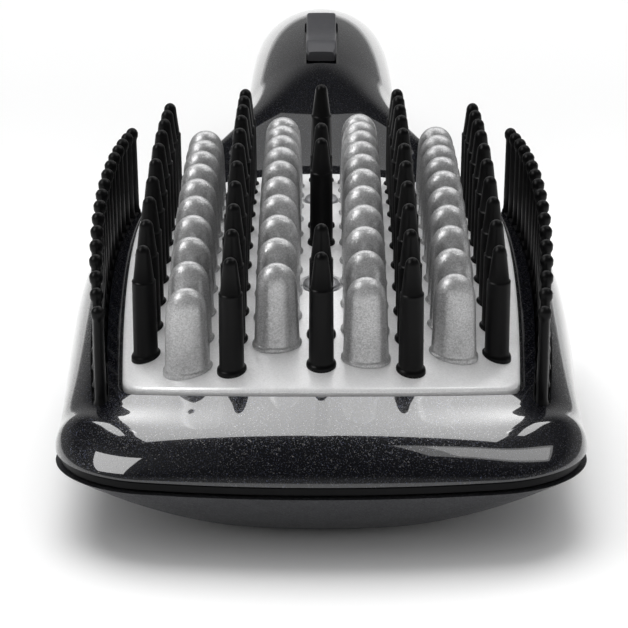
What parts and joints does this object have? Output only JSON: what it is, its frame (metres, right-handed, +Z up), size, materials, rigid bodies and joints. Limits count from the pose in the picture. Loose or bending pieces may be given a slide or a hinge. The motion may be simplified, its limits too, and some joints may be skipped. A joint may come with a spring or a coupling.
{
  "type": "heated smoothing brush",
  "caption": "Heated smoothing brush with a curved paddle face of heated teeth and cool pins between two pin rails, an arched round handle, a slide switch and a swivel cord inlet.",
  "frame": {"origin": "middle of the footprint, on the surface that the brush lies on", "axes": "+Y from the tip of the head to the cord end, +X to the right seen from the tip with the bristles up, +Z up out of the bristle face"},
  "size_m": [0.08, 0.285, 0.0487],
  "materials": {
    "top_housing": "high-gloss black moulding with a very fine pearl glitter",
    "bottom_housing": "grey metallic lacquer, satin",
    "seam_band": "satin black",
    "cover_plate": "silver metallic coating with fine flakes",
    "heated_teeth": "silver metallic coating with fine flakes",
    "cool_pins": "matte black heat-resistant nylon",
    "side_rails": "matte black heat-resistant nylon",
    "plate_screws": "turned steel with a slot",
    "heat_spreader": "bare pressed sheet",
    "heater_ceramic": "fired alumina, matte white",
    "mica_insulator": "layered amber mica",
    "clamp_plate": "spring steel sheet",
    "thermal_fuse": "plain tin-plated case",
    "thermistor": "resin-dipped bead",
    "chassis": "glass-filled moulding",
    "small_screws": "zinc-plated steel",
    "switch_knob": "satin black",
    "switch_actuator": "natural nylon",
    "switch_body": "moulded switch case",
    "control_board": "green solder mask",
    "film_capacitor": "dipped brown resin",
    "triac": "moulded power device",
    "tail_cap": "satin black",
    "cord_swivel": "matte black",
    "swivel_clip": "spring steel",
    "lead_insulation": "silicone insulation"
  },
  "bodies": {
    "handpiece": {"cover_plate": "cover_plate", "heated_comb_1": "heated_teeth", "heated_comb_2": "heated_teeth", "heated_comb_3": "heated_teeth", "heated_comb_4": "heated_teeth", "bristle_row_1": "cool_pins", "bristle_row_2": "cool_pins", "bristle_row_3": "cool_pins", "bristle_row_4": "cool_pins", "bristle_row_5": "cool_pins", "side_rail_left": "side_rails", "side_rail_right": "side_rails", "plate_screw_1": "plate_screws", "plate_screw_2": "plate_screws", "heat_spreader": "heat_spreader", "ceramic_heater_left": "heater_ceramic", "ceramic_heater_right": "heater_ceramic", "mica_insulator": "mica_insulator", "clamp_plate": "clamp_plate", "thermal_fuse": "thermal_fuse", "thermistor": "thermistor", "chassis": "chassis", "chassis_screw_1": "small_screws", "chassis_screw_2": "small_screws", "chassis_screw_3": "small_screws", "chassis_screw_4": "small_screws", "switch_body": "switch_body", "control_board": "control_board", "film_capacitor": "film_capacitor", "triac": "triac", "tail_cap": "tail_cap", "top_housing": "top_housing", "bottom_housing": "bottom_housing", "seam_band": "seam_band", "housing_screw_1": "small_screws", "housing_screw_2": "small_screws", "heater_lead_1": "lead_insulation", "mains_lead_1": "lead_insulation", "heater_lead_2": "lead_insulation", "mains_lead_2": "lead_insulation"},
    "switch": {"switch_knob": "switch_knob", "switch_actuator": "switch_actuator"},
    "swivel": {"cord_swivel": "cord_swivel", "swivel_clip": "swivel_clip"}
  },
  "joints": [
    {"name": "power_slide", "type": "slide", "parent": "handpiece", "child": "switch", "axis": [0, -0.999, -0.0439], "range_m": [0, 0.006]},
    {"name": "cord_swivel_turn", "type": "hinge", "parent": "handpiece", "child": "swivel", "pos_m": [0, 0.13247, 0.01205], "axis": [0, 0.9424, -0.3344], "continuous": true}
  ]
}
